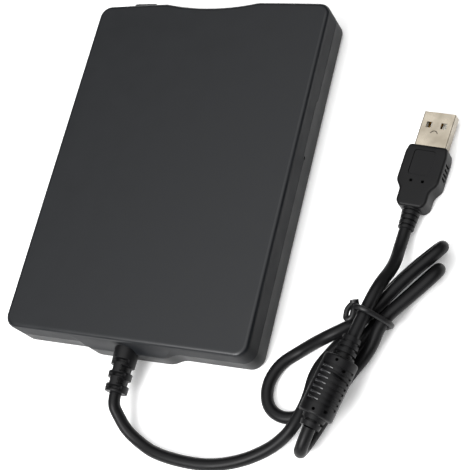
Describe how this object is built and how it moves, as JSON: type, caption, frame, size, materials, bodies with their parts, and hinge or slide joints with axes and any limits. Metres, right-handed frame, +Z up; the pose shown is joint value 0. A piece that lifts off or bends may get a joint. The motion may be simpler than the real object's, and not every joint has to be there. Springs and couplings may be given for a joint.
{
  "type": "external floppy disk drive",
  "caption": "Slim external floppy disk drive with a slot front, eject button and a tied USB lead with a ferrite bead and plug.",
  "frame": {"origin": "on the surface the drive stands on, under the middle of the drive's box without its lead", "axes": "+Z up, front with the disk slot towards -Y, lead out of the rear at +Y"},
  "size_m": [0.1644, 0.1869, 0.0197],
  "materials": {
    "lid": "fine moulded texture",
    "base": "fine moulded texture",
    "button": "satin",
    "lens": "clear green",
    "rubber": "matt",
    "boot": "satin",
    "cord": "satin",
    "tie": "gloss",
    "steel": "drawn",
    "plated": "nickel plated",
    "galvanised": "galvanised sheet",
    "board": "solder mask",
    "chips": "moulded",
    "copper": "enamelled wire",
    "magnet": "bonded ferrite",
    "white": "moulded",
    "gold": "gold flash"
  },
  "bodies": {
    "case": {"top_cover": "lid", "bottom_cover": "base", "front_bezel": "base", "led_lens": "lens", "rubber_feet": "rubber", "case_screws": "steel", "chassis_screws": "steel", "chassis_tray": "galvanised", "motor_board": "board", "stator_core": "steel", "stator_coils": "copper", "spindle_bearing": "gold", "guide_rod": "steel", "rod_clamps": "white", "stepper_motor": "galvanised", "stepper_bracket": "galvanised", "eject_spring": "steel", "main_board": "board", "board_components": "chips", "usb_board": "board", "usb_board_parts": "chips", "connectors": "white", "flat_cable": "white", "sense_switches": "chips", "strain_relief": "boot", "cord_lead": "cord", "cord_hank": "cord", "cord_plug_end": "cord", "ferrite_bead": "boot", "twist_tie": "tie", "plug_body": "boot", "plug_shell": "plated", "plug_tongue": "white", "plug_contacts": "gold"},
    "spindle": {"spindle_rotor": "galvanised", "rotor_magnet": "magnet", "spindle_shaft": "steel", "drive_pin": "steel"},
    "carriage": {"head_carriage": "white", "lower_head": "magnet"},
    "head_arm": {"upper_head_arm": "white", "upper_head": "magnet"},
    "lead_screw": {"lead_screw": "steel"},
    "eject_slide": {"slide_plate": "galvanised", "eject_button": "button"},
    "carrier": {"disk_carrier": "galvanised"},
    "shutter_lever": {"shutter_lever": "white"},
    "slot_door": {"slot_door": "lid"}
  },
  "joints": [
    {"name": "spindle_spin", "type": "hinge", "parent": "case", "child": "spindle", "pos_m": [0, -0.0183, 0.008], "axis": [0, 0, 1], "continuous": true},
    {"name": "head_step", "type": "slide", "parent": "case", "child": "carriage", "axis": [0, -1, 0], "range_m": [0, 0.0148]},
    {"name": "lead_screw_turn", "type": "hinge", "parent": "case", "child": "lead_screw", "pos_m": [0.014, 0.035, 0.0084], "axis": [0, 1, 0], "range_deg": [-10, 1790]},
    {"name": "eject_slide", "type": "slide", "parent": "case", "child": "eject_slide", "axis": [0, -1, 0], "range_m": [-0.0002, 0.0045], "stiffness_N_per_m": 60},
    {"name": "carrier_lift", "type": "slide", "parent": "case", "child": "carrier", "axis": [0, 0, -1], "range_m": [-0.00015, 0.0021]},
    {"name": "head_arm_lift", "type": "hinge", "parent": "carriage", "child": "head_arm", "pos_m": [0, 0.0442, 0.0132], "axis": [1, 0, 0], "range_deg": [-0.6, 10.1]},
    {"name": "shutter_lever_swing", "type": "hinge", "parent": "carrier", "child": "shutter_lever", "pos_m": [-0.04, 0.0222, 0.015], "axis": [0, 0, 1], "range_deg": [0, 47], "stiffness_Nm_per_rad": 0.002},
    {"name": "slot_door_swing", "type": "hinge", "parent": "case", "child": "slot_door", "pos_m": [0, -0.0629, 0.0148], "axis": [1, 0, 0], "range_deg": [0, 85], "stiffness_Nm_per_rad": 0.002}
  ],
  "couplings": [
    {"joint": "lead_screw_turn", "follows": "head_step", "rad_per_m": 2094.4},
    {"joint": "carrier_lift", "follows": "eject_slide", "ratio": 0.44444},
    {"joint": "head_arm_lift", "follows": "eject_slide", "rad_per_m": 38.8}
  ]
}
